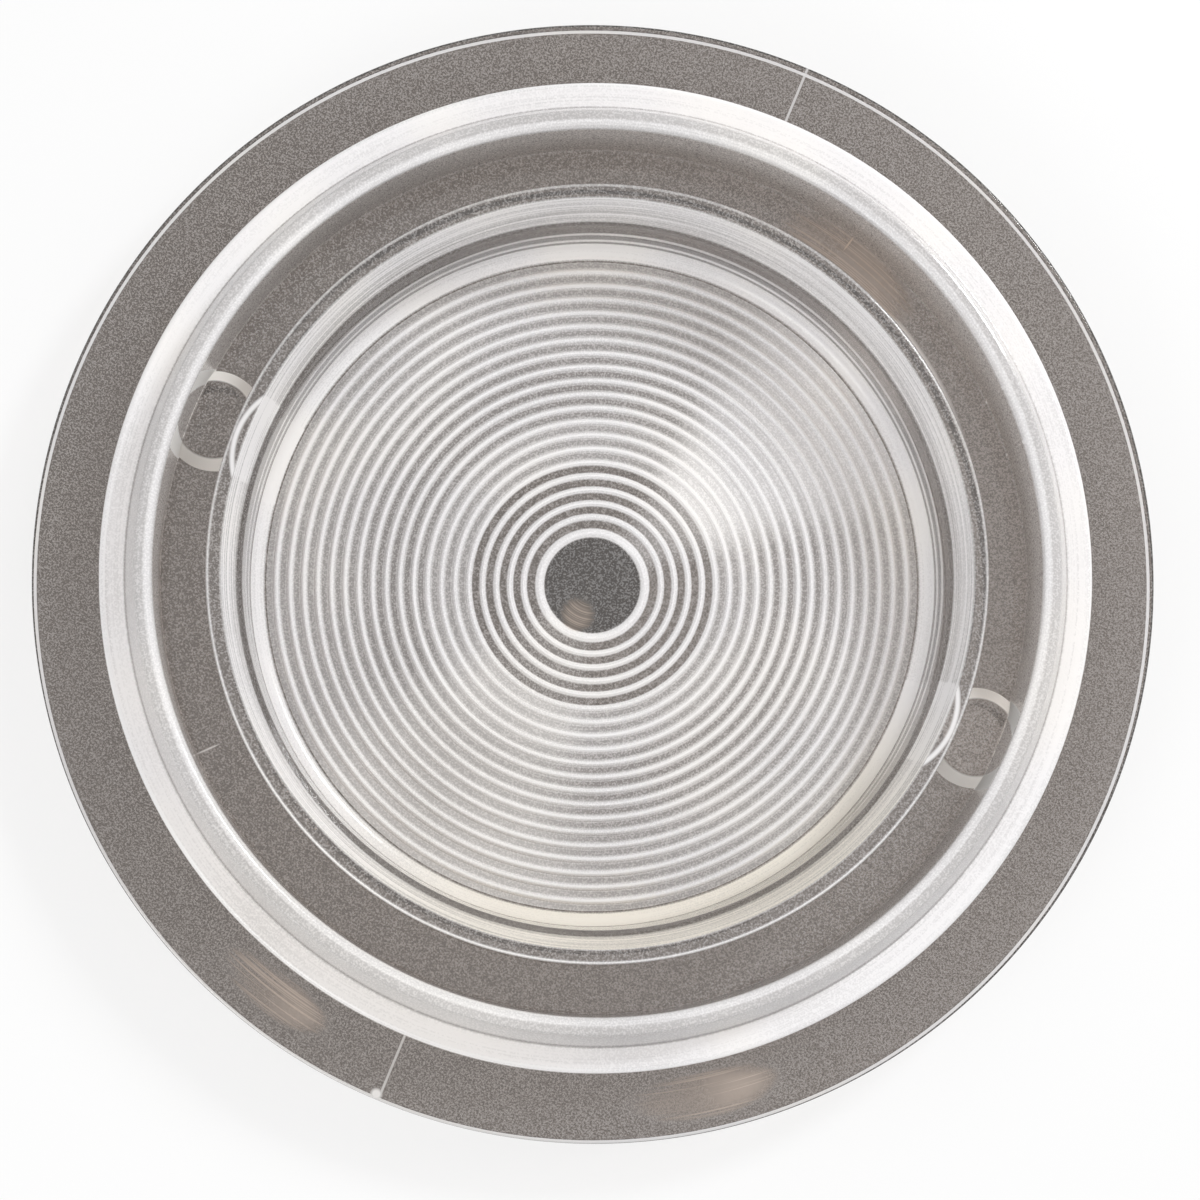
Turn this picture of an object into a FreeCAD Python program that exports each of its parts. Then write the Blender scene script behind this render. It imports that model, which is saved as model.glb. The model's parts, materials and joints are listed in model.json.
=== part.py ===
import FreeCAD, Part
import math
import os
import Sketcher

# A screw-in pool light lens, moulded in one piece of clear plastic.
# It rests on its flat front face, with the lamp side up. X runs through the two spanner pockets
# and Y along the parting line of the mould. Lengths are in millimetres.

sizes = {
    # Radial widths, from the outside in
    "flangeRadius": 63.5,
    "sealLand": 8.15,
    "shoulderWidth": 2.85,
    "pilotTaper": 1.5,
    "rimWidth": 2.0,
    "moatWidth": 5.7,
    "ringLand": 1.65,
    "coneWidth": 2.1,
    "cupDraft": 0.45,
    "drumWall": 2.9,
    # Heights. The front face of the drum is at zero, and the rear face of the flange carries the seal
    "drumHeight": 4.5,
    "flangeThickness": 4.5,
    "shoulderHeight": 5.9,
    "pilotHeight": 4.6,
    "moatFloor": 4.8,
    "ringHeight": 8.8,
    "coneDepth": 4.5,
    "lensThickness": 3.0,
    # Edges
    "flangeEdge": 0.5,
    "drumEdge": 1.0,
    "shoulderEdge": 0.5,
    "rimBevel": 0.9,
    "ringEdge": 0.3,
    "floorCove": 1.7,
    # Light-spreading rings on the rear of the lens
    "eyeRadius": 5.5,
    "eyeRibWidth": 1.1,
    "firstRibOffset": 2.39,
    "ribPitch": 1.578,
    "ribWidth": 0.8,
    "ribHeight": 0.35,
    # Spanner pockets in the front, with a raised button over each one in the moat
    "pocketRadius": 4.0,
    "pocketGap": 0.5,
    "pocketCap": 1.85,
    "buttonSlope": 1.55,
    "buttonWall": 0.2,
    "buttonHeight": 1.55,
}
pocketCount = 2
filletTolerance = 0.01

# Radii and heights worked out from the sheet
threadRadius = "(Sizes.flangeRadius - Sizes.sealLand)"
pilotRadius = f"({threadRadius} - Sizes.shoulderWidth)"
rimRadius = f"({pilotRadius} - Sizes.pilotTaper)"
moatOuter = f"({rimRadius} - Sizes.rimWidth)"
moatInner = f"({moatOuter} - Sizes.moatWidth)"
mouthRadius = f"({moatInner} - Sizes.ringLand)"
throatRadius = f"({mouthRadius} - Sizes.coneWidth)"
cupRadius = f"({throatRadius} - Sizes.cupDraft)"
drumRadius = f"({cupRadius} + Sizes.drumWall)"
pocketCircle = f"({drumRadius} + Sizes.pocketGap + Sizes.pocketRadius)"
buttonTop = "(Sizes.pocketRadius + Sizes.buttonWall)"

frontFace = "Sizes.drumHeight"
sealFace = "(Sizes.drumHeight + Sizes.flangeThickness)"
shoulderFace = f"({sealFace} + Sizes.shoulderHeight)"
rimFace = f"({shoulderFace} + Sizes.pilotHeight)"
moatFace = "(Sizes.drumHeight + Sizes.moatFloor)"
ringFace = f"({sealFace} + Sizes.ringHeight)"
throatFace = f"({ringFace} - Sizes.coneDepth)"
lensFace = "Sizes.lensThickness"


def makeSheet(doc):
    sheet = doc.addObject("Spreadsheet::Sheet", "Sizes")
    for row, (name, value) in enumerate(sizes.items(), start=1):
        sheet.set(f"A{row}", name)
        sheet.set(f"B{row}", str(value))
        sheet.setAlias(f"B{row}", name)
    doc.recompute()
    return sheet


def originPlane(body, role):
    return next(o for o in body.Origin.OriginFeatures if o.Role == role)


def makeSketch(body, name, role):
    sketch = body.newObject("Sketcher::SketchObject", name)
    sketch.AttachmentSupport = [(originPlane(body, role), "")]
    sketch.MapMode = "FlatFace"
    return sketch


def pin(sketch, geometry, end, axis, expression):
    """Ties one end of a line to the sheet, along X or Y of the sketch."""
    value = sketch.evalExpression(expression)
    index = sketch.addConstraint(Sketcher.Constraint(f"Distance{axis}", -1, 1, geometry, end, value))
    sketch.setExpression(f"Constraints[{index}]", expression)


def addOutline(sketch, corners):
    """Adds a closed outline of straight lines. Each corner is a pair of expressions, or 0 on an axis."""
    points = [
        FreeCAD.Vector(*[sketch.evalExpression(c) if c else 0 for c in corner], 0) for corner in corners
    ]
    ends = points[1:] + points[:1]
    lines = [sketch.addGeometry(Part.LineSegment(a, b)) for a, b in zip(points, ends)]
    for line, following in zip(lines, lines[1:] + lines[:1]):
        sketch.addConstraint(Sketcher.Constraint("Coincident", line, 2, following, 1))
    for line, (across, up) in zip(lines, corners):
        if across:
            pin(sketch, line, 1, "X", across)
        else:
            sketch.addConstraint(Sketcher.Constraint("PointOnObject", line, 1, -2))
        if up:
            pin(sketch, line, 1, "Y", up)
        else:
            sketch.addConstraint(Sketcher.Constraint("PointOnObject", line, 1, -1))


def addRib(sketch, inner, outer):
    """Adds the section of one rib: two straight flanks that meet over the lens."""
    crest = (f"(({inner} + {outer}) / 2)", f"({lensFace} + Sizes.ribHeight)")
    addOutline(sketch, [(inner, lensFace), (outer, lensFace), crest])


def revolve(body, name, sketch):
    turn = body.newObject("PartDesign::Revolution", name)
    turn.Profile = sketch
    turn.ReferenceAxis = (sketch, ["V_Axis"])
    turn.Angle = 360
    body.Document.recompute()
    return turn


def rimEdges(feature, rims):
    """Names the circular edges round Z whose radius and height are in rims."""
    found = []
    for radius, height in rims:
        r = feature.evalExpression(radius)
        z = feature.evalExpression(height)
        for number, edge in enumerate(feature.Shape.Edges, start=1):
            circle = edge.Curve
            if not isinstance(circle, Part.Circle):
                continue
            if abs(circle.Radius - r) < filletTolerance and abs(circle.Center.z - z) < filletTolerance:
                found.append(f"Edge{number}")
    return found


def dress(body, kind, name, base, rims, size):
    """Rounds or bevels some rims of the last feature."""
    edge = body.newObject(f"PartDesign::{kind}", name)
    edge.Base = (base, rimEdges(base, rims))
    edge.setExpression("Radius" if kind == "Fillet" else "Size", f"Sizes.{size}")
    body.Document.recompute()
    return edge


def makeMoulding(body):
    section = makeSketch(body, "MouldingSection", "XZ_Plane")
    corners = [
        (0, 0),
        (drumRadius, 0),
        (drumRadius, frontFace),
        ("Sizes.flangeRadius", frontFace),
        ("Sizes.flangeRadius", sealFace),
        (threadRadius, sealFace),
        (threadRadius, shoulderFace),
        (pilotRadius, shoulderFace),
        (rimRadius, rimFace),
        (moatOuter, rimFace),
        (moatOuter, moatFace),
        (moatInner, moatFace),
        (moatInner, ringFace),
        (mouthRadius, ringFace),
        (throatRadius, throatFace),
        (cupRadius, lensFace),
        (0, lensFace),
    ]
    addOutline(section, corners)
    return revolve(body, "Moulding", section)


def dressMoulding(body, base):
    flangeRims = [("Sizes.flangeRadius", frontFace), ("Sizes.flangeRadius", sealFace)]
    steps = [
        ("Chamfer", "FlangeEdges", "flangeEdge", flangeRims),
        ("Chamfer", "DrumEdge", "drumEdge", [(drumRadius, "0")]),
        ("Chamfer", "ShoulderEdge", "shoulderEdge", [(threadRadius, shoulderFace)]),
        ("Chamfer", "RimBevel", "rimBevel", [(moatOuter, rimFace)]),
        ("Chamfer", "RingEdge", "ringEdge", [(moatInner, ringFace)]),
        ("Fillet", "FloorCove", "floorCove", [(cupRadius, lensFace)]),
    ]
    for kind, name, size, rims in steps:
        base = dress(body, kind, name, base, rims, size)
    return base


def makeRibs(body):
    """The raised rings: a broad one round the clear eye, then narrow ones out to the cove."""
    section = makeSketch(body, "RibSection", "XZ_Plane")
    eyeOuter = "(Sizes.eyeRadius + Sizes.eyeRibWidth)"
    addRib(section, "Sizes.eyeRadius", eyeOuter)
    limit = section.evalExpression(f"{cupRadius} - Sizes.floorCove - Sizes.ribWidth / 2")
    first = section.evalExpression("Sizes.eyeRadius + Sizes.firstRibOffset")
    pitch = section.evalExpression("Sizes.ribPitch")
    for number in range(1 + math.floor((limit - first) / pitch)):
        middle = f"(Sizes.eyeRadius + Sizes.firstRibOffset + {number} * Sizes.ribPitch)"
        inner = f"({middle} - Sizes.ribWidth / 2)"
        outer = f"({middle} + Sizes.ribWidth / 2)"
        addRib(section, inner, outer)
    return revolve(body, "Ribs", section)


def patternPair(body, name, feature):
    pattern = body.newObject("PartDesign::PolarPattern", name)
    pattern.Originals = [feature]
    pattern.Axis = (originPlane(body, "Z_Axis"), [""])
    pattern.Angle = 360
    pattern.Occurrences = pocketCount
    body.Tip = pattern
    body.Document.recompute()
    return pattern


def placeOnPocketCircle(feature, body, height):
    feature.AttachmentSupport = [(originPlane(body, "XY_Plane"), "")]
    feature.MapMode = "FlatFace"
    feature.setExpression("AttachmentOffset.Base.x", pocketCircle)
    feature.setExpression("AttachmentOffset.Base.z", height)


def makeButtons(body):
    """The low cones in the moat that keep a wall over each spanner pocket."""
    button = body.newObject("PartDesign::AdditiveCone", "Button")
    placeOnPocketCircle(button, body, moatFace)
    button.setExpression("Radius1", f"{buttonTop} + Sizes.buttonSlope")
    button.setExpression("Radius2", buttonTop)
    button.setExpression("Height", "Sizes.buttonHeight")
    body.Document.recompute()
    return patternPair(body, "Buttons", button)


def makePockets(body):
    pocket = body.newObject("PartDesign::SubtractiveCylinder", "Pocket")
    placeOnPocketCircle(pocket, body, frontFace)
    pocket.setExpression("Radius", "Sizes.pocketRadius")
    pocket.setExpression("Height", "Sizes.moatFloor + Sizes.buttonHeight - Sizes.pocketCap")
    body.Document.recompute()
    return patternPair(body, "Pockets", pocket)


def checkAll(doc):
    for item in doc.Objects:
        if "Invalid" in item.State or "Error" in item.State:
            raise RuntimeError(f"{item.Label} failed: {item.State}")


def exportBody(body):
    shape = body.Shape
    if shape.isNull() or not shape.isValid() or len(shape.Solids) != 1:
        raise RuntimeError(f"{body.Label} is not one valid solid")
    shape.exportStep(f"parts/{body.Label}.step")
    box = shape.BoundBox
    spans = [round(span, 2) for span in (box.XLength, box.YLength, box.ZLength)]
    print(body.Label, round(shape.Volume), "mm3", "spans", spans, "mm")


def main():
    os.makedirs("parts", exist_ok=True)
    doc = FreeCAD.newDocument("PoolLightLens")
    makeSheet(doc)
    body = doc.addObject("PartDesign::Body", "Lens")
    body.Label = "lens"
    moulding = makeMoulding(body)
    dressMoulding(body, moulding)
    makeRibs(body)
    makeButtons(body)
    makePockets(body)
    doc.recompute()
    checkAll(doc)
    exportBody(body)


main()
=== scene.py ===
import json
import math

import bpy
from mathutils import Matrix, Vector


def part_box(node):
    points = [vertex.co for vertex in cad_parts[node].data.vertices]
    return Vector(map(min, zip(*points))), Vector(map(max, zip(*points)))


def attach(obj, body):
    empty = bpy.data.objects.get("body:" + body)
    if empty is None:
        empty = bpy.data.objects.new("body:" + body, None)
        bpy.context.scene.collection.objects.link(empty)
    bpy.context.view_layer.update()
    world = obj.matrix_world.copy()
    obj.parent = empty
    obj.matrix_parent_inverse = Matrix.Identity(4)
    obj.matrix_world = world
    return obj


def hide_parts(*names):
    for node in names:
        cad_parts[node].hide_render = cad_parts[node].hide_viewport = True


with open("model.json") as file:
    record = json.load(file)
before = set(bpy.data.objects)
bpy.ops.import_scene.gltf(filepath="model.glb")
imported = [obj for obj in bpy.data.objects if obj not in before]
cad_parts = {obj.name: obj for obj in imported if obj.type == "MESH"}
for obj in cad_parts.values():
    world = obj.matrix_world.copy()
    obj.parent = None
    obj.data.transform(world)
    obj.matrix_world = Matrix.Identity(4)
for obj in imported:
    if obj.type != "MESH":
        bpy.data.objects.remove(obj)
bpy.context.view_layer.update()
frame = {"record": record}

mm = 0.001


# The wiring of node trees: a Wire is one output, and sums and products of wires add Math nodes
class Wire:
    def __init__(self, tree, socket=None):
        self.tree = tree
        self.socket = socket

    def node(self, kind, settings=None, links=None, out=0):
        made = self.tree.nodes.new(kind)
        for name, value in (settings or {}).items():
            if name == "stops":
                for stop in range(len(value) - 2):
                    made.color_ramp.elements.new(0.5)
                for stop, (place, tone) in zip(made.color_ramp.elements, value):
                    stop.position = place
                    stop.color = tone
            else:
                setattr(made, name, value)
        for name, value in (links or {}).items():
            if isinstance(value, Wire):
                self.tree.links.new(value.socket, made.inputs[name])
            else:
                made.inputs[name].default_value = value
        return Wire(self.tree, made.outputs[out] if made.outputs else None)

    def out(self, name):
        return Wire(self.tree, self.socket.node.outputs[name])

    def math(self, operation, *values, clamp=False):
        settings = {"operation": operation, "use_clamp": clamp}
        return self.node("ShaderNodeMath", settings, dict(enumerate((self, *values))))

    def flipped(self, operation, value):
        return self.node("ShaderNodeMath", {"operation": operation}, {0: value, 1: self})

    def __add__(self, value):
        return self.math("ADD", value)

    def __sub__(self, value):
        return self.math("SUBTRACT", value)

    def __mul__(self, value):
        return self.math("MULTIPLY", value)

    def __truediv__(self, value):
        return self.math("DIVIDE", value)

    def __rsub__(self, value):
        return self.flipped("SUBTRACT", value)

    def __rtruediv__(self, value):
        return self.flipped("DIVIDE", value)

    __radd__ = __add__
    __rmul__ = __mul__

    def abs(self):
        return self.math("ABSOLUTE")

    def clamp(self):
        return self.math("ADD", 0.0, clamp=True)

    def above(self, level, soft):
        # 0 under the level, 1 over it, with a soft step of the given width
        return self.node(
            "ShaderNodeMapRange",
            {"interpolation_type": "SMOOTHSTEP"},
            {"Value": self, "From Min": level - soft / 2, "From Max": level + soft / 2},
        )

    def step(self, fade):
        # The same step from a dictionary, up to its share
        return self.above(fade["from"], fade["soft"]) * fade["share"]

    def below(self, level, soft):
        return self.above(level, -soft)

    def between(self, low, high, soft):
        return (self - (low + high) / 2).abs().below((high - low) / 2, soft)

    def within(self, low, high):
        # 1 between the two levels, with hard edges
        return self.math("COMPARE", (low + high) / 2, (high - low) / 2)

    def vector(self, operation, *values):
        out = 1 if operation in ("LENGTH", "DISTANCE", "DOT_PRODUCT") else 0
        links = dict(enumerate((self, *values)))
        return self.node("ShaderNodeVectorMath", {"operation": operation}, links, out)


# Camera: beside the axis and turned only a little, with the frame shifted over the lens, so that
# circles stay round
view = {
    "photoSide": 1200,
    "outlineRadius": 561.7,  # of the flange in the photograph, in its pixels
    "outlineCentre": (593.7, 582.1),
    "height": 0.361,  # of the camera over the flange, in metres
    "slant": 6.45,  # angles in degrees
    "tilt": 2.7,
    "slantTowards": 246.4,
    "pocketLine": 337.4,
    "sensor": 36.0,
}


def placeCamera():
    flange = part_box("lens")[1][0]
    roll = math.radians(-view["pocketLine"])
    right = Vector((math.cos(roll), math.sin(roll), 0))
    up = Vector((-math.sin(roll), math.cos(roll), 0))
    towards = math.radians(view["slantTowards"])
    lean = right * math.cos(towards) + up * math.sin(towards)
    tilt = math.radians(view["tilt"])
    centre = Vector((0, 0, mounts["flange_seal"]["pos_m"][2]))
    aside = lean * view["height"] * math.tan(math.radians(view["slant"]))
    place = centre + aside + Vector((0, 0, view["height"]))
    back = lean * math.sin(tilt) + Vector((0, 0, math.cos(tilt)))
    side = up.cross(back).normalized()
    top = back.cross(side)
    # How far off the camera's axis the flange is seen, in pixels of the photograph
    depth = (place - centre).dot(back)
    scale = view["outlineRadius"] / flange
    swell = lean * flange * flange * math.sin(tilt) / depth / 2
    across = (centre - place + swell).dot(side) * scale
    along = (centre - place + swell).dot(top) * scale
    half = view["photoSide"] / 2
    data = bpy.data.cameras.new("camera")
    data.sensor_width = view["sensor"]
    data.lens = view["sensor"] * depth * scale / view["photoSide"]
    data.shift_x = (half - view["outlineCentre"][0] + across) / view["photoSide"]
    data.shift_y = (view["outlineCentre"][1] - half + along) / view["photoSide"]
    camera = bpy.data.objects.new("camera", data)
    camera.matrix_world = Matrix.Translation(place) @ Matrix((side, top, back)).transposed().to_4x4()
    bpy.context.collection.objects.link(camera)
    bpy.context.scene.camera = camera
    print("frame shifted by", round(data.shift_x, 3), round(data.shift_y, 3))


mounts = {m["name"]: m for m in frame["record"]["mounts"]}
placeCamera()
print("camera placed")

# Stage: a white table top and soft light from large panels
stage = {
    "floorSize": 20.0,
    "floorGap": 0.00005,
    "floorGrey": 0.93,
    "floorMottle": 0.02,
    "floorGrain": 40.0,
    "shadowShare": 0.3,
    "paperReach": 0.4,
    "paperFade": 0.5,
    "worldLight": 0.5,
    "panels": {
        "key": {"from": (0.2, 0.38, 0.4), "size": 0.14, "watts": 1.9},
        "fill": {"from": (-0.16, -0.42, 0.3), "size": 0.3, "watts": 0.9},
    },
}


def seenRay(wire):
    # 1 for rays that reach the eye straight, by a reflection or through clear plastic
    rays = wire.node("ShaderNodeLightPath")
    seen = rays.out("Is Camera Ray")
    for kind in ("Is Glossy Ray", "Is Transmission Ray"):
        seen = seen.math("MAXIMUM", rays.out(kind))
    return seen


def newTree(material):
    material.use_nodes = True
    material.node_tree.nodes.clear()
    return Wire(material.node_tree)


def makeFloor():
    material = bpy.data.materials.new("tableTop")
    wire = newTree(material)
    grain = wire.node("ShaderNodeTexNoise", None, {"Scale": stage["floorGrain"], "Detail": 0.0})
    dark = stage["floorGrey"]
    pale = dark + stage["floorMottle"]
    tone = wire.node(
        "ShaderNodeValToRGB",
        {"stops": [(0.3, (dark, dark, dark, 1)), (0.7, (pale, pale, pale, 1))]},
        {"Fac": grain},
    )
    paper = wire.node("ShaderNodeBsdfDiffuse", None, {"Color": tone})
    glow = wire.node("ShaderNodeEmission", None, {"Color": (1, 1, 1, 1), "Strength": 1.0})
    away = wire.node("ShaderNodeTexCoord", out="Object").vector("LENGTH")
    share = seenRay(wire) * (1 - away.below(stage["paperReach"], stage["paperFade"]) * stage["shadowShare"])
    surface = wire.node("ShaderNodeMixShader", None, {0: share, 1: paper, 2: glow})
    wire.node("ShaderNodeOutputMaterial", None, {"Surface": surface})
    half = stage["floorSize"] / 2
    level = -stage["floorGap"]  # clear of the front face, so that rays tell the two apart
    corners = [(-half, -half, level), (half, -half, level), (half, half, level), (-half, half, level)]
    mesh = bpy.data.meshes.new("tableTop")
    mesh.from_pydata(corners, [], [(0, 1, 2, 3)])
    mesh.materials.append(material)
    floor = bpy.data.objects.new("tableTop", mesh)
    bpy.context.collection.objects.link(floor)


def makeWorld():
    world = bpy.data.worlds.new("studio")
    bpy.context.scene.world = world
    world.use_nodes = True
    world.node_tree.nodes.clear()
    wire = Wire(world.node_tree)
    level = stage["worldLight"] + seenRay(wire) * (1 - stage["worldLight"])
    light = wire.node("ShaderNodeBackground", None, {"Color": (1, 1, 1, 1), "Strength": level})
    wire.node("ShaderNodeOutputWorld", None, {"Surface": light})


def makePanels():
    for name, panel in stage["panels"].items():
        data = bpy.data.lights.new(name, "AREA")
        data.shape = "DISK"
        data.size = panel["size"]
        data.energy = panel["watts"]
        lamp = bpy.data.objects.new(name, data)
        lamp.location = panel["from"]
        lamp.rotation_euler = Vector(panel["from"]).to_track_quat("Z", "Y").to_euler()
        bpy.context.collection.objects.link(lamp)


makeFloor()
makeWorld()
makePanels()
bpy.context.scene.view_settings.view_transform = "Standard"
print("stage lit")

# The lens: one clear moulding. Lengths in millimetres, heights above the front face it rests on
lens = {
    "shoulderWidth": 2.85,
    "pilotTaper": 1.5,
    "rimWidth": 2.0,
    "moatWidth": 5.7,
    "ringLand": 1.65,
    "coneWidth": 2.1,
    "cupDraft": 0.45,
    "drumWall": 2.9,
    "drumHeight": 4.5,
    "shoulderHeight": 5.9,
    "moatFloor": 4.8,
    "ringHeight": 8.8,
    "coneDepth": 4.5,
    "lensThickness": 3.0,
    "flangeEdge": 0.5,
    "drumEdge": 1.0,
    "shoulderEdge": 0.5,
    "rimBevel": 0.9,
    "ringEdge": 0.3,
    "floorCove": 1.7,
    "softEdge": 0.12,  # at the foot of the thread
    "innerEdge": 0.25,
    "landEdge": 0.2,
    "undersideEdge": 0.3,
    "pilotFoot": 0.1,
    "holdEdge": 0.04,  # points beside each rounded edge keep the flat faces flat
    "turns": 384,
    "weld": 0.004,
    "creaseAngle": 32,
    "flatFrom": 0.9999,  # how level a face's normal has to be to count as flat
}
ribs = {
    "eyeRadius": 5.5,
    "eyeRibWidth": 1.1,
    "firstOffset": 2.39,
    "pitch": 1.578,
    "width": 0.8,
    "height": 0.35,
    "facets": 5,
}
thread = {
    "pitch": 2.0,
    "depth": 0.8,
    "crestShare": 0.3,
    "rootShare": 0.15,
    "runOut": 0.7,
    "wallGap": 0.01,
    "steps": 28,
}
pockets = {
    "buttonWall": 0.2,
    "buttonSlope": 1.55,
    "buttonHeight": 1.55,
    "buttonSunk": 0.2,
    "cap": 1.85,
    "sides": 96,
}

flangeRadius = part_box("lens")[1][0] / mm
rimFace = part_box("lens")[1][2] / mm
sealFace = mounts["flange_seal"]["pos_m"][2] / mm
threadRadius = mounts["screw_collar"]["dims"]["r_mm"]
pocketCircle = mounts["spanner_pockets"]["dims"]["pcd_mm"] / 2
pocketRadius = mounts["spanner_pockets"]["dims"]["hole_r_mm"]
frontFace = lens["drumHeight"]
moatFace = frontFace + lens["moatFloor"]
shoulderFace = sealFace + lens["shoulderHeight"]
ringFace = sealFace + lens["ringHeight"]
throatFace = ringFace - lens["coneDepth"]
pilotRadius = threadRadius - lens["shoulderWidth"]
rimRadius = pilotRadius - lens["pilotTaper"]
moatOuter = rimRadius - lens["rimWidth"]
moatInner = moatOuter - lens["moatWidth"]
mouthRadius = moatInner - lens["ringLand"]
throatRadius = mouthRadius - lens["coneWidth"]
cupRadius = throatRadius - lens["cupDraft"]
drumRadius = cupRadius + lens["drumWall"]
buttonTop = pocketRadius + pockets["buttonWall"]


def roundCorner(before, corner, after, size, pieces):
    # Points of an arc that is tangent to both sides of a corner, size being its length along each side
    a = (Vector(before) - Vector(corner)).normalized()
    b = (Vector(after) - Vector(corner)).normalized()
    half = a.angle(b) / 2
    radius = size * math.tan(half)
    centre = Vector(corner) + (a + b).normalized() * radius / math.sin(half)
    first = Vector(corner) + a * size - centre
    last = Vector(corner) + b * size - centre
    swing = first.angle(last)
    points = []
    for step in range(pieces + 1):
        share = step / pieces
        arm = (first * math.sin((1 - share) * swing) + last * math.sin(share * swing)) / math.sin(swing)
        points.append(tuple(centre + arm))
    return points


def ribPoints():
    # The lens floor from the cove in to the eye, each rib a rounded crown
    level = lens["lensThickness"]
    first = ribs["eyeRadius"] + ribs["firstOffset"]
    limit = cupRadius - lens["floorCove"] - ribs["width"] / 2
    count = 1 + math.floor((limit - first) / ribs["pitch"])
    crowns = [(ribs["eyeRadius"] + ribs["eyeRibWidth"] / 2, ribs["eyeRibWidth"])]
    crowns += [(first + ribs["pitch"] * number, ribs["width"]) for number in range(count)]
    points = []
    for middle, width in reversed(crowns):
        for step in range(ribs["facets"] + 1):
            share = 1 - 2 * step / ribs["facets"]
            rise = ribs["height"] * math.cos(share * math.pi / 2)
            points.append((middle + share * width / 2, level + rise))
    return points


def sectionPoints():
    # The section of the moulding from the middle of the front face round to the middle of the lens floor
    soft = lens["softEdge"]
    corners = [  # place, size of the rounding and its pieces
        ((drumRadius, 0), lens["drumEdge"], 4),
        ((drumRadius, frontFace), lens["undersideEdge"], 2),
        ((flangeRadius, frontFace), lens["flangeEdge"], 3),
        ((flangeRadius, sealFace), lens["flangeEdge"] / 2, 3),
        ((threadRadius, sealFace), soft, 2),
        ((threadRadius, shoulderFace), lens["shoulderEdge"], 3),
        ((pilotRadius, shoulderFace), lens["pilotFoot"], 2),
        ((rimRadius, rimFace), lens["innerEdge"], 2),
        ((moatOuter, rimFace), lens["rimBevel"], 4),
        ((moatOuter, moatFace), lens["innerEdge"], 2),
        ((moatInner, moatFace), lens["innerEdge"], 2),
        ((moatInner, ringFace), lens["ringEdge"], 3),
        ((mouthRadius, ringFace), lens["landEdge"], 2),
        ((throatRadius, throatFace), lens["innerEdge"], 2),
        ((cupRadius, lens["lensThickness"]), lens["floorCove"], 5),
    ]
    places = [(0, 0)] + [c[0] for c in corners] + [(0, lens["lensThickness"])]
    points = [(0, 0)]
    for number, (corner, size, pieces) in enumerate(corners, start=1):
        arc = roundCorner(places[number - 1], corner, places[number + 1], size, pieces)
        before = (Vector(places[number - 1]) - Vector(corner)).normalized() * lens["holdEdge"]
        after = (Vector(places[number + 1]) - Vector(corner)).normalized() * lens["holdEdge"]
        points += [tuple(Vector(arc[0]) + before), *arc, tuple(Vector(arc[-1]) + after)]
        if corner == (threadRadius, sealFace):
            low = sealFace + soft
            high = shoulderFace - lens["shoulderEdge"]
            step = (high - low) / thread["steps"]
            points += [(threadRadius, low + step * s) for s in range(1, thread["steps"])]
    return points + ribPoints() + [(0, lens["lensThickness"])]


def sectionObject():
    # One chain of points in the XZ plane
    points = [(r * mm, 0, z * mm) for r, z in sectionPoints()]
    mesh = bpy.data.meshes.new("lensSection")
    mesh.from_pydata(points, [(i, i + 1) for i in range(len(points) - 1)], [])
    section = bpy.data.objects.new("lensSection", mesh)
    bpy.context.collection.objects.link(section)
    return section


def turnSection(wire, section, turns):
    # Sweeps the chain of points round Z: a grid takes its rows from the chain and its columns from the turn
    rows = wire.node("GeometryNodeAttributeDomainSize", {"component": "MESH"}, {0: section})
    sheet = wire.node("GeometryNodeMeshGrid", None, {"Vertices X": turns + 1, "Vertices Y": rows})
    index = wire.node("GeometryNodeInputIndex")
    row = index.math("FLOORED_MODULO", rows)
    column = (index / rows).math("FLOOR")
    place = wire.node("GeometryNodeInputPosition")
    chain = wire.node(
        "GeometryNodeSampleIndex", {"data_type": "FLOAT_VECTOR"}, {0: section, "Value": place, "Index": row}
    )
    parts = wire.node("ShaderNodeSeparateXYZ", None, {0: chain})
    angle = column / turns * math.tau
    x = parts * angle.math("COSINE")
    y = parts * angle.math("SINE")
    spot = wire.node("ShaderNodeCombineXYZ", None, {"X": x, "Y": y, "Z": parts.out("Z")})
    turned = wire.node("GeometryNodeSetPosition", None, {"Geometry": sheet, "Position": spot})
    return wire.node("GeometryNodeMergeByDistance", None, {"Geometry": turned, "Distance": lens["weld"] * mm})


def cutThread(wire, body, size):
    # Lowers the collar's wall along a right-hand helix that runs out at both ends
    place = wire.node("ShaderNodeSeparateXYZ", None, {0: wire.node("GeometryNodeInputPosition")})
    x, y, z = place, place.out("Y"), place.out("Z")
    radius = (x * x + y * y).math("SQRT")
    bearing = y.math("ARCTAN2", x) / math.tau
    phase = ((z - size["Thread bottom"]) / size["Thread pitch"] - bearing).math("FLOORED_MODULO", 1.0)
    rise = 1 - (phase * 2 - 1).abs()
    groove = ((rise - thread["crestShare"]) / (1 - thread["crestShare"] - thread["rootShare"])).clamp()
    start = ((z - size["Thread bottom"]) / size["Thread run-out"]).clamp()
    stop = ((size["Thread top"] - z) / size["Thread run-out"]).clamp()
    onWall = radius.math("GREATER_THAN", size["Crest radius"] - thread["wallGap"] * mm)
    offFlange = radius.math("LESS_THAN", size["Crest radius"] + thread["wallGap"] * mm)
    depth = groove * start * stop * onWall * offFlange * size["Thread depth"] / radius
    inward = wire.node("ShaderNodeCombineXYZ", None, {"X": x * depth * -1, "Y": y * depth * -1, "Z": 0.0})
    return wire.node("GeometryNodeSetPosition", None, {"Geometry": body, "Offset": inward})


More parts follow.
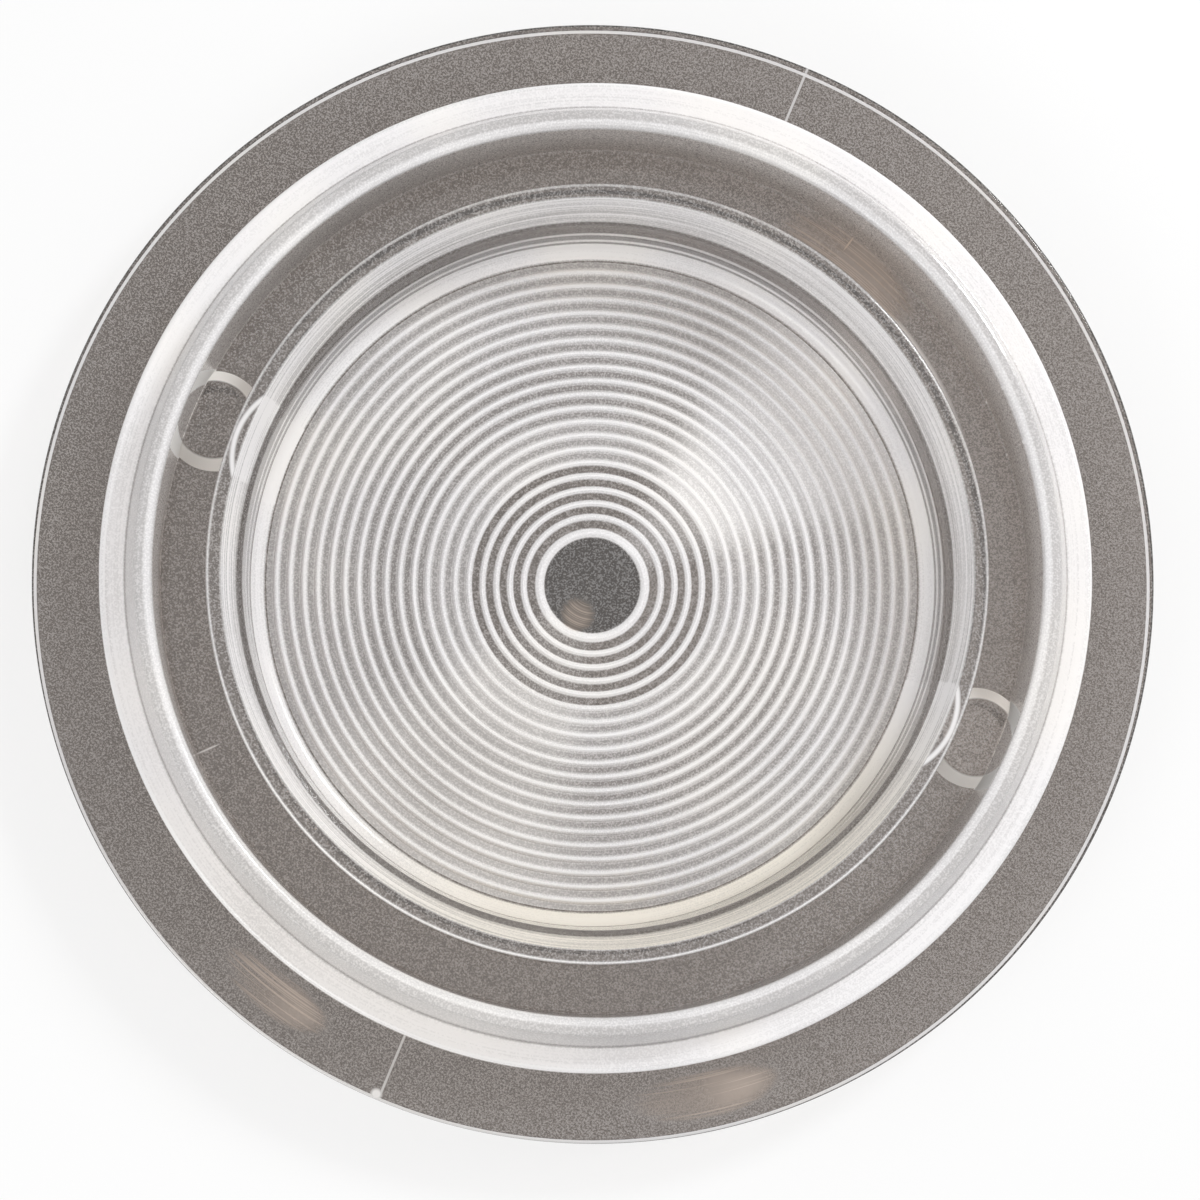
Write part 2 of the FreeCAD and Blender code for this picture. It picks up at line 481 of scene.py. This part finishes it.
def copyToPockets(wire, tool, circle):
    # Puts a turned tool at both ends of the line through the pockets
    line = wire.node(
        "GeometryNodeMeshLine",
        {"mode": "END_POINTS"},
        {
            "Count": 2,
            "Start Location": wire.node("ShaderNodeCombineXYZ", None, {"X": circle * -1}),
            "Offset": wire.node("ShaderNodeCombineXYZ", None, {"X": circle}),
        },
    )
    copies = wire.node("GeometryNodeInstanceOnPoints", None, {"Points": line, "Instance": tool})
    return wire.node("GeometryNodeRealizeInstances", None, {0: copies})


def liftTo(wire, tool, height):
    lift = wire.node("ShaderNodeCombineXYZ", None, {"Z": height})
    return wire.node("GeometryNodeTransform", None, {"Geometry": tool, "Translation": lift})


def addButtonsAndPockets(wire, body, size):
    cone = wire.node(
        "GeometryNodeMeshCone",
        None,
        {
            "Vertices": pockets["sides"],
            "Radius Top": size["Button top radius"],
            "Radius Bottom": size["Button foot radius"],
            "Depth": size["Button height"],
        },
    )
    buttons = copyToPockets(wire, liftTo(wire, cone, size["Button foot height"]), size["Pocket circle"])
    body = wire.node("GeometryNodeMeshBoolean", {"operation": "UNION", "solver": "MANIFOLD"}, {1: body})
    wire.tree.links.new(buttons.socket, body.socket.node.inputs[1])
    drill = wire.node(
        "GeometryNodeMeshCylinder",
        None,
        {"Vertices": pockets["sides"], "Radius": size["Pocket radius"], "Depth": size["Pocket depth"] * 2},
    )
    drills = copyToPockets(wire, liftTo(wire, drill, size["Flange front"]), size["Pocket circle"])
    return wire.node(
        "GeometryNodeMeshBoolean", {"operation": "DIFFERENCE", "solver": "MANIFOLD"}, {0: body, 1: drills}
    )


def shadeByEdge(wire, body):
    # Flat faces keep flat shading beside their rounded edges, and so does every crease
    smooth = wire.node("GeometryNodeSetShadeSmooth", {"domain": "FACE"}, {0: body, "Shade Smooth": True})
    normal = wire.node("ShaderNodeSeparateXYZ", None, {0: wire.node("GeometryNodeInputNormal")})
    level = normal.out("Z").abs().math("GREATER_THAN", lens["flatFrom"])
    level = wire.node("GeometryNodeFieldOnDomain", {"domain": "FACE"}, {0: level})
    border = level.math("GREATER_THAN", 0.1) * level.math("LESS_THAN", 0.9)  # on edges between the two kinds
    bend = wire.node("GeometryNodeInputMeshEdgeAngle").math("GREATER_THAN", math.radians(lens["creaseAngle"]))
    crease = border.math("MAXIMUM", bend)
    settings = {0: smooth, "Selection": crease, "Shade Smooth": False}
    return wire.node("GeometryNodeSetShadeSmooth", {"domain": "EDGE"}, settings)


def makeLens(material):
    sizes = {
        "Thread pitch": thread["pitch"],
        "Thread depth": thread["depth"],
        "Thread run-out": thread["runOut"],
        "Thread bottom": sealFace + lens["softEdge"],
        "Thread top": shoulderFace - lens["shoulderEdge"],
        "Crest radius": threadRadius,
        "Pocket circle": pocketCircle,
        "Pocket radius": pocketRadius,
        "Pocket depth": lens["moatFloor"] + pockets["buttonHeight"] - pockets["cap"],
        "Flange front": frontFace,
        "Button foot height": moatFace - pockets["buttonSunk"],
        "Button height": pockets["buttonHeight"] + pockets["buttonSunk"],
        "Button top radius": buttonTop,
        "Button foot radius": buttonTop + pockets["buttonSlope"] + pockets["buttonSunk"],
    }
    tree = bpy.data.node_groups.new("turnedLens", "GeometryNodeTree")
    tree.interface.new_socket("Section", in_out="INPUT", socket_type="NodeSocketGeometry")
    tree.interface.new_socket("Turns", in_out="INPUT", socket_type="NodeSocketInt")
    for name in sizes:
        tree.interface.new_socket(name, in_out="INPUT", socket_type="NodeSocketFloat")
    tree.interface.new_socket("Plastic", in_out="INPUT", socket_type="NodeSocketMaterial")
    tree.interface.new_socket("Lens", in_out="OUTPUT", socket_type="NodeSocketGeometry")
    wire = Wire(tree)
    entry = wire.node("NodeGroupInput")
    size = {name: entry.out(name) for name in sizes}
    body = turnSection(wire, entry.out("Section"), entry.out("Turns"))
    body = cutThread(wire, body, size)
    body = addButtonsAndPockets(wire, body, size)
    body = shadeByEdge(wire, body)
    body = wire.node("GeometryNodeRealizeInstances", None, {0: body})
    body = wire.node("GeometryNodeSetMaterial", None, {0: body, "Material": entry.out("Plastic")})
    wire.node("NodeGroupOutput", None, {"Lens": body})

    section = sectionObject()
    modifier = section.modifiers.new("turnedLens", "NODES")
    modifier.node_group = tree
    sockets = {s.name: s.identifier for s in tree.interface.items_tree if s.in_out == "INPUT"}
    modifier[sockets["Turns"]] = lens["turns"]
    modifier[sockets["Plastic"]] = material
    for name, value in sizes.items():
        modifier[sockets[name]] = value * mm
    graph = bpy.context.evaluated_depsgraph_get()
    mesh = bpy.data.meshes.new_from_object(section.evaluated_get(graph))
    section.modifiers.remove(modifier)
    bpy.data.objects.remove(section)
    mesh.name = "moulding"
    piece = bpy.data.objects.new("moulding", mesh)
    bpy.context.collection.objects.link(piece)
    return piece


# Clear plastic: smoky where the eye looks through flat faces, milky where the moulding scatters light and
# where highlights and light edges are painted
plastic = {
    "smoke": (0.1155, 0.0996, 0.0885, 1),
    "smokeLight": (0.343, 0.302, 0.278, 1),
    # The smoke is painted lighter towards one bearing: a painted shade across the clear flats
    "smokeTone": {"grain": 2.2, "lightSide": 0.22, "level": -0.6},
    "lightSide": 8.0,
    # The darkest smoke, also painted as shade where a clear edge, the outline or the cup's belt looks dark
    "eyeSmoke": (0.028, 0.0249, 0.0225, 1),  # also where a clear edge looks dark
    "smokeBelow": (0.2, 0.175, 0.16, 1),
    "edgeBelow": (0.075, 0.066, 0.06, 1),
    "milk": (0.93, 0.915, 0.92, 1),
    "cream": (0.99, 0.96, 0.92, 1),
    "creamClouds": {"from": 0.6, "soft": 0.3, "share": 0.5},
    "beige": (0.93, 0.88, 0.79, 1),
    "beigeSide": {"bearing": 305.0, "fade": (0.72, 0.5)},
    "wallDark": (0.27, 0.25, 0.24, 1),
    "wallLight": (0.95, 0.9, 0.87, 1),
    "scuff": (0.68, 0.56, 0.47, 1),
    "scuffTint": (0.1, 0.15),  # the share of a warm mark from which it takes the tint, and how softly
    "shadowTint": (0.62, 0.6, 0.58, 1),
    "refraction": 1.49,
    "clearRoughness": 0.04,
    "hazeRoughness": 0.3,
    "milkRoughness": {"least": 0.14, "clouds": 0.12},
    "bump": {"Strength": 0.15, "Distance": 0.0001},
    "sides": {"inDrum": 2.4, "outside": 8.7},  # the heights where the lamp side starts
    "outline": {"width": 0.24, "share": 0.12},
}
texture = {
    "grain": 5200.0,
    "clouds": 70.0,
    # Fine lines: how many there are for each millimetre of radius, of height and round the axis
    "lineCount": 5.5,
    "linesUp": 1.6,
    "linesRound": 0.03,
    "unevenMilk": {"clouds": 0.3, "lines": 0.4, "level": 0.8},
    "speckle": {"from": 0.56, "soft": 0.3, "share": 0.15},
}
near = 0.05  # points within this reach count as on a surface
rampReach = flangeRadius + 1  # the radius at which ramps end
pocketMiddle = (pocketCircle, 0, 0)


# The shaded point: where it is in millimetres, and the textures that lie over it
class Spot:
    def __init__(self, wire):
        self.wire = wire
        place = wire.node("ShaderNodeTexCoord", out="Object")
        at = place.vector("MULTIPLY", (1 / mm, 1 / mm, 1 / mm))
        parts = wire.node("ShaderNodeSeparateXYZ", None, {0: at})
        self.x, self.y, self.z = parts, parts.out("Y"), parts.out("Z")
        self.flat = at.vector("MULTIPLY", (1, 1, 0))
        self.r = self.flat.vector("LENGTH")
        self.outward = self.r / rampReach
        self.aim = self.flat.vector("NORMALIZE")
        self.mirrored = wire.node("ShaderNodeCombineXYZ", None, {"X": self.x.abs(), "Y": self.y})
        self.grain = self.noise(place, texture["grain"])
        self.cloud = self.noise(place, texture["clouds"])
        across = self.r * texture["lineCount"] + self.z * texture["linesUp"]
        around = {"X": across, "Y": self.y * texture["linesRound"], "Z": self.x * texture["linesRound"]}
        self.lines = self.noise(wire.node("ShaderNodeCombineXYZ", None, around), 1.0, 1.0) - 0.5

    def noise(self, place, scale, detail=0.0):
        links = {"Vector": place, "Scale": scale, "Detail": detail}
        return self.wire.node("ShaderNodeTexNoise", None, links)

    def towards(self, bearing):
        # The cosine of the angle between the point and a bearing, seen from the axis
        turn = math.radians(bearing)
        return self.aim.vector("DOT_PRODUCT", (math.cos(turn), math.sin(turn), 0))

    def ramp(self, stops):
        # A share that changes with the radius
        stops = [(radius / rampReach, (share, share, share, 1)) for radius, share in stops]
        return self.wire.node("ShaderNodeValToRGB", {"stops": stops}, {"Fac": self.outward})

    def mix(self, share, first, second):
        mixed = self.wire.node("ShaderNodeMix", {"data_type": "RGBA"}, {0: share}, out=2)
        for place, colour in ((6, first), (7, second)):
            if isinstance(colour, Wire):
                self.wire.tree.links.new(colour.socket, mixed.socket.node.inputs[place])
            else:
                mixed.socket.node.inputs[place].default_value = colour
        return mixed


def strongest(first, *others):
    for other in others:
        first = first.math("MAXIMUM", other)
    return first


# How milky each zone of the lamp side is, from the middle out: the zone's outer radius and its share
coveRadius = cupRadius - lens["floorCove"] + 0.2  # where the cove starts to show white
milkZones = [
    (coveRadius, 0.02),  # lens floor, whose ribs come on top
    (cupRadius + 0.02, 0.97),  # cove
    (mouthRadius, 0.66),  # cup wall and mouth cone
    (moatInner - lens["ringEdge"], 0.05),  # ring land
    (moatInner, 0.6),
    (moatOuter + 0.04, 0.03),  # moat
    (moatOuter + lens["rimBevel"], 0.86),
    (pilotRadius - 0.28, 0.53),  # rim and pilot
    (pilotRadius + 0.12, 0.2),
    (threadRadius + 0.1, 0.98),  # shoulder and thread
    (rampReach, 0.0),  # sealing land
]
zoneSoft = 0.02


def zoneMilk(spot):
    stops = [(0.0, milkZones[0][1])]
    for (edge, inner), (_, outer) in zip(milkZones, milkZones[1:]):
        stops += [(edge - zoneSoft, inner), (edge + zoneSoft, outer)]
    return spot.ramp(stops)


milkyRibs = {
    "crown": 0.95,
    "reach": 0.37,
    "eyeReach": 0.15,  # the rib round the eye is milky this much further
    "crisp": 0.16,
    "blurFrom": (14.1, 0.3),  # radius and softness
    "blur": 0.22,
    # How milky the floor is between the ribs: radius and share
    "ground": [(0, 0.0), (13.9, 0.0), (14.6, 0.24), (18.6, 0.25), (20.2, 0.14), (24.0, 0.14), (32.0, 0.28)],
    # Painted highlight streaks: their bearing, and the cosine off it from which they show
    "nearStreak": {"bearing": 59.5, "from": 0.945, "soft": 0.12, "share": 1.25},
    "farStreak": {"bearing": 260.0, "from": 0.9, "soft": 0.2, "share": 0.6},
}


# A painted highlight that streaks across the ribs towards one bearing
def paintedRibHighlight(spot, name):
    return spot.towards(milkyRibs[name]["bearing"]).step(milkyRibs[name])


def ribMilk(spot, farStreak):
    # Ribs are crisp round the eye, and softer and milkier further out, with two painted highlight streaks
    # across them
    first = ribs["eyeRadius"] + ribs["firstOffset"]
    nearEye = spot.r.math("LESS_THAN", first - ribs["pitch"] / 2)
    offCrown = (spot.r - first).math("PINGPONG", ribs["pitch"] / 2)
    offEyeRib = (spot.r - ribs["eyeRadius"] - ribs["eyeRibWidth"] / 2).abs() - milkyRibs["eyeReach"]
    offCrown = offCrown + nearEye * (offEyeRib - offCrown)
    soft = spot.r.above(*milkyRibs["blurFrom"]) * milkyRibs["blur"] + milkyRibs["crisp"]
    crown = ((milkyRibs["reach"] - offCrown) / soft).math("ADD", 0.5, clamp=True)
    ground = spot.ramp(milkyRibs["ground"]) + (paintedRibHighlight(spot, "nearStreak") + farStreak) * soft
    ribbed = spot.r.within(ribs["eyeRadius"] - near, cupRadius - lens["floorCove"])
    return ribbed * (ground + (milkyRibs["crown"] - ground) * crown)


# The cup wall has a clear belt painted dark, a painted shade where the wall looks dark, with two fine lines
# in it, which is broader on one side
belt = {
    "height": 9.4,
    "half": 4.9,
    "soft": 0.4,
    "extra": 0.5,
    "broadSide": 269.0,
    "share": 0.94,
    "dark": 0.6,
    "lines": {"middle": 7.75, "apart": 1.45, "fade": (0.5, 0.5)},
}


# Painted shade: a clear, dark belt round the cup wall
def paintedDarkBelt(spot):
    off = (spot.z - belt["height"]).abs() - spot.towards(belt["broadSide"]) * belt["extra"]
    clear = off.below(belt["half"], belt["soft"]) * spot.r.within(cupRadius + 0.02, mouthRadius)
    offLines = ((spot.z - belt["lines"]["middle"]).abs() - belt["lines"]["apart"]).abs()
    return clear * offLines.above(*belt["lines"]["fade"])


# The inner ring: streaky milk beside the buttons, brighter towards one edge as a painted highlight, an arc
# over its land, and lines along its edge and mouth
innerRing = {
    "beside": {"from": -5.6, "to": 3.8, "soft": 0.5, "share": 0.25},
    "besideMore": {"from": 1.5, "soft": 4.0, "share": 0.2},
    "arc": {"centre": (34.3, -0.9, 0), "inner": 8.1, "outer": 8.65, "soft": 0.4, "share": 0.85},
    "edge": {"share": 0.1, "dimSide": 97, "dim": 0.3},
    "mouth": {"foot": 0.2, "share": 0.9, "rim": 0.95, "rimSoft": 0.6, "rimShare": 0.2},
}


def innerRingMilk(spot):
    beside, edge, mouth = innerRing["beside"], innerRing["edge"], innerRing["mouth"]
    # The patch grows milkier towards one edge: a painted highlight
    streaky = spot.y.step(innerRing["besideMore"]) + spot.lines + beside["share"]
    onCup = spot.y.between(beside["from"], beside["to"], beside["soft"])
    onCup = onCup * spot.r.within(coveRadius, mouthRadius)
    onEdge = spot.r.within(moatInner - lens["ringEdge"], moatInner)
    edgeShare = edge["share"] - spot.towards(edge["dimSide"]) * edge["dim"]
    inMouth = spot.r.within(throatRadius + mouth["foot"], mouthRadius)
    rim = spot.r.above(mouthRadius - mouth["rim"], mouth["rimSoft"]) * mouth["rimShare"]
    return onCup * streaky + onEdge * edgeShare + inMouth * (rim + spot.lines * mouth["share"])


def landArc(spot):
    arc = innerRing["arc"]
    onArc = spot.mirrored.vector("DISTANCE", arc["centre"]).between(arc["inner"], arc["outer"], arc["soft"])
    onLand = spot.r.within(mouthRadius, moatInner) * spot.z.math("GREATER_THAN", ringFace - near)
    return onArc * arc["share"] * onLand


# Painted edges and shades, which stand in for what the lens shows by refraction
edgeLine = {"centre": (0, -0.35, 0), "from": 0.72, "to": 0.38, "share": 0.7}  # in from the flange's edge
moatWall = {
    "foot": 0.1,
    "head": 0.8,
    "share": 0.85,
    "grain": 1.8,
    "level": 0.3,
    # The wall's painted shade: darker where it faces the key panel
    "shade": {"bearing": 277.0, "from": 0.75, "soft": 0.5, "share": 0.6},  # where it faces the key panel
    "offRing": (0.3, 0.4),  # the share of a button's outline that hides the wall's tone, and how softly
}
# The button ring, and its painted reflection up the moat's wall
buttonRing = {
    "lean": (0.16, 0.11, 0),  # how far the ring shifts for each millimetre up the moat's wall
    "inner": 0.2,
    "outer": 0.1,
    "soft": 0.3,
    "share": 0.95,
    "lift": 2,  # how strongly it leans up
}
pocketLine = {"inner": 0.1, "outer": 0.05, "share": 0.35}


# A painted light line near the flange's edge, where the front edge shows through by refraction
def paintedFlangeLine(spot):
    off = spot.flat.vector("DISTANCE", edgeLine["centre"])
    return off.within(flangeRadius - edgeLine["from"], flangeRadius - edgeLine["to"]) * edgeLine["share"]


def onMoatWall(spot):
    wall = spot.r.within(moatOuter - near, moatOuter + near)
    return wall * spot.z.within(moatFace + moatWall["foot"], rimFace - moatWall["head"])


def onButtonRing(spot, wall):
    # Each button's flank, and a painted reflection of its outline that runs on up the moat's wall
    rise = (spot.z - moatFace) * wall
    off = rise.vector("MULTIPLY_ADD", buttonRing["lean"], spot.mirrored).vector("DISTANCE", pocketMiddle)
    outer = buttonTop + pockets["buttonSlope"] + buttonRing["outer"]
    ring = off.between(buttonTop + buttonRing["inner"], outer, buttonRing["soft"])
    return ring * spot.z.math("GREATER_THAN", moatFace + near) * spot.r.within(moatInner, moatOuter + near)


def onPocketWall(spot):
    off = spot.mirrored.vector("DISTANCE", pocketMiddle)
    return off.within(pocketRadius - pocketLine["inner"], pocketRadius + pocketLine["outer"])


# Marks left by moulding and use, and one painted highlight, the sheen by the ring: bearing in degrees,
# radius, half length round the axis, half width and strength
paleMarksAndSheen = {
    "clampNubRight": (39.6, 49.15, 0.38, 0.38, 1.0),
    "clampNubTop": (47.1, 49.15, 0.38, 0.38, 1.0),
    "tickRight": (75.6, 48.1, 0.14, 1.3, 0.8),
    "tickLeft": (226.4, 47.6, 0.14, 1.6, 0.7),
    # A painted highlight: the sheen of light on the moat beside the inner ring
    "sheenByRing": (61.0, 44.7, 15.0, 0.9, 0.75),
    "gateFlare": (269.6, 62.9, 0.8, 0.8, 0.8),
}
warmMarks = {
    "scuffLeft": (254.8, 58.9, 7.5, 2.6, 0.55),
    "scuffBottom": (304.6, 59.3, 9.0, 2.8, 0.55),
    "smudgeMoat": (74.0, 46.6, 10.0, 3.2, 0.42),
    "smudgeEye": (266.0, 3.7, 2.3, 2.3, 0.35),
}
marks = {
    "round": (0.75, 0.7),  # how far out a mark ends, and how softly
    "oval": (0.69, 1.05),
    "offWalls": {"foot": 0.3, "head": 3.2},  # marks near the moat and the rim stay off the walls between
    "patchLines": {"from": 0.04, "soft": 0.1, "share": 0.6},
    "patchClouds": {"from": 0.5, "soft": 0.3, "share": 0.5},
    "patchLevel": 0.25,
    "parting": {"half": 0.14, "soft": 0.08, "share": 0.5},
}


def markShare(spot, places):
    # Soft round or oval spots, each strongest in its middle
    total = None
    for bearing, radius, along, across, strength in places.values():
        if along == across:
            turn = math.radians(bearing)
            off = spot.flat.vector("DISTANCE", (radius * math.cos(turn), radius * math.sin(turn), 0))
            level, soft = marks["round"]
            share = off.below(level * along, soft * along) * strength
        else:
            # An oval that is bent along its ring, by the square of the distance
            bend = 2 * (radius / along) ** 2
            around = spot.towards(bearing).math("MULTIPLY_ADD", -bend, bend)
            off = spot.r.math("MULTIPLY_ADD", 1 / across, -radius / across)
            share = off.math("MULTIPLY_ADD", off, around).below(*marks["oval"]) * strength
        total = strongest(total, share) if total else share
    return total


# Pale moulding marks, the parting line, and the painted sheen by the ring
def paleMarkAndSheenShare(spot):
    walls = marks["offWalls"]
    offWalls = 1 - spot.z.within(moatFace + walls["foot"], rimFace - walls["head"])
    line = marks["parting"]
    parting = spot.x.abs().below(line["half"], line["soft"]) * line["share"]
    parting = parting * spot.r.math("GREATER_THAN", moatOuter)
    return strongest(markShare(spot, paleMarksAndSheen) * offWalls, parting)


def warmShare(spot):
    patchy = spot.lines.step(marks["patchLines"]) + spot.cloud.step(marks["patchClouds"])
    low = spot.z.math("LESS_THAN", moatFace + marks["offWalls"]["foot"])
    return markShare(spot, warmMarks) * (patchy + marks["patchLevel"]) * low


# The colours of the two kinds of plastic on the lamp side
def clearColour(spot, clear, outside):
    tone = plastic["smokeTone"]
    # Painted shade: the smoke turns lighter towards one side
    slope = spot.towards(plastic["lightSide"]).math("MULTIPLY_ADD", tone["lightSide"], tone["level"])
    lightness = spot.grain.math("MULTIPLY_ADD", tone["grain"], slope, clamp=True)
    smoke = spot.mix(lightness, plastic["smoke"], plastic["smokeLight"])
    # The eye takes the darkest smoke; the belt and the flange's outline take it as painted shade
    dark = strongest(spot.r.math("LESS_THAN", ribs["eyeRadius"]), clear * belt["dark"], outside)
    return spot.mix(dark, smoke, plastic["eyeSmoke"])


def milkColour(spot, wall, ring, warm, farStreak):
    # The far painted highlight streak is cream too
    creamy = strongest(spot.cloud.step(plastic["creamClouds"]), ring, farStreak)
    white = spot.mix(creamy, plastic["milk"], plastic["cream"])
    # Beige towards one bearing on the cove and the cup wall
    beigeShare = spot.towards(plastic["beigeSide"]["bearing"]).above(*plastic["beigeSide"]["fade"])
    beigeShare = beigeShare * spot.r.within(cupRadius - lens["floorCove"], mouthRadius)
    white = spot.mix(beigeShare, white, plastic["beige"])
    white = spot.mix(warm.above(*plastic["scuffTint"]), white, plastic["scuff"])
    # The moat's wall: a grainy tone from dark to light, with painted shade where it faces the key panel
    paintedKeyShade = spot.towards(moatWall["shade"]["bearing"]).step(moatWall["shade"])
    tone = (spot.grain * moatWall["grain"] - paintedKeyShade).math("SUBTRACT", moatWall["level"], clamp=True)
    shadedWallTone = spot.mix(tone, plastic["wallDark"], plastic["wallLight"])
    return spot.mix(wall * ring.below(*moatWall["offRing"]), white, shadedWallTone)


def shaderPart(spot, colour, roughness, extra=None):
    links = {"Base Color": colour, "IOR": plastic["refraction"], "Roughness": roughness}
    return spot.wire.node("ShaderNodeBsdfPrincipled", None, links | (extra or {}))


def clearPart(spot, colour):
    return shaderPart(spot, colour, plastic["clearRoughness"], {"Transmission Weight": 1.0})


def milkyPart(spot, colour, ring):
    # The buttons' flanks and outlines take light as if they faced up
    upward = spot.wire.node("ShaderNodeCombineXYZ", None, {"Z": ring * buttonRing["lift"]})
    leaning = spot.wire.node("ShaderNodeNewGeometry", out="Normal").vector("ADD", upward).vector("NORMALIZE")
    links = {"Height": spot.grain, "Normal": leaning} | plastic["bump"]
    bump = spot.wire.node("ShaderNodeBump", None, links)
    roughness = spot.cloud * plastic["milkRoughness"]["clouds"] + plastic["milkRoughness"]["least"]
    return shaderPart(spot, colour, roughness, {"Normal": bump})


def lampSideShader(spot, outside):
    clear = paintedDarkBelt(spot)
    wall = onMoatWall(spot)
    ring = onButtonRing(spot, wall)
    warm = warmShare(spot)
    # The far painted highlight streak, milky and cream
    farStreak = paintedRibHighlight(spot, "farStreak")
    zones = (zoneMilk(spot) + innerRingMilk(spot)) * (1 - clear * belt["share"])
    uneven = texture["unevenMilk"]
    milk = ribMilk(spot, farStreak) + zones
    milk = milk * (spot.cloud * uneven["clouds"] + spot.lines * uneven["lines"] + uneven["level"])
    milk = milk + spot.grain.step(texture["speckle"])
    milk = strongest(milk, wall * moatWall["share"], paleMarkAndSheenShare(spot), landArc(spot), warm)
    milk = strongest(milk, ring * buttonRing["share"], paintedFlangeLine(spot)).clamp()
    smoky = clearPart(spot, clearColour(spot, clear, outside))
    milky = milkyPart(spot, milkColour(spot, wall, ring, warm, farStreak), ring)
    return spot.wire.node("ShaderNodeMixShader", None, {0: milk, 1: smoky, 2: milky})


def frontSideShader(spot, outside):
    # Plain, since it is mostly seen through the lens
    # The flange's outline is painted darker here too, a painted shade
    smoky = clearPart(spot, spot.mix(outside, plastic["smokeBelow"], plastic["edgeBelow"]))
    haze = shaderPart(spot, plastic["milk"], plastic["hazeRoughness"])
    milk = onPocketWall(spot) * pocketLine["share"] + outside * plastic["outline"]["share"]
    return spot.wire.node("ShaderNodeMixShader", None, {0: milk, 1: smoky, 2: haze})


def plasticMaterial():
    material = bpy.data.materials.new("clearPlastic")
    spot = Spot(newTree(material))
    outside = spot.r.math("GREATER_THAN", flangeRadius - plastic["outline"]["width"])
    low, high = plastic["sides"]["inDrum"], plastic["sides"]["outside"]
    level = spot.r.math("GREATER_THAN", drumRadius + near) * (high - low) + low
    sides = {
        0: spot.z.math("GREATER_THAN", level),
        1: frontSideShader(spot, outside),
        2: lampSideShader(spot, outside),
    }
    body = spot.wire.node("ShaderNodeMixShader", None, sides)
    shade = spot.wire.node("ShaderNodeBsdfTransparent", None, {"Color": plastic["shadowTint"]})
    rays = spot.wire.node("ShaderNodeLightPath", out="Is Shadow Ray")
    surface = spot.wire.node("ShaderNodeMixShader", None, {0: rays, 1: body, 2: shade})
    spot.wire.node("ShaderNodeOutputMaterial", None, {"Surface": surface})
    return material


piece = makeLens(plasticMaterial())
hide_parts("lens")
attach(piece, "root")
print("lens turned:", len(piece.data.vertices), "points,", len(piece.data.polygons), "faces")
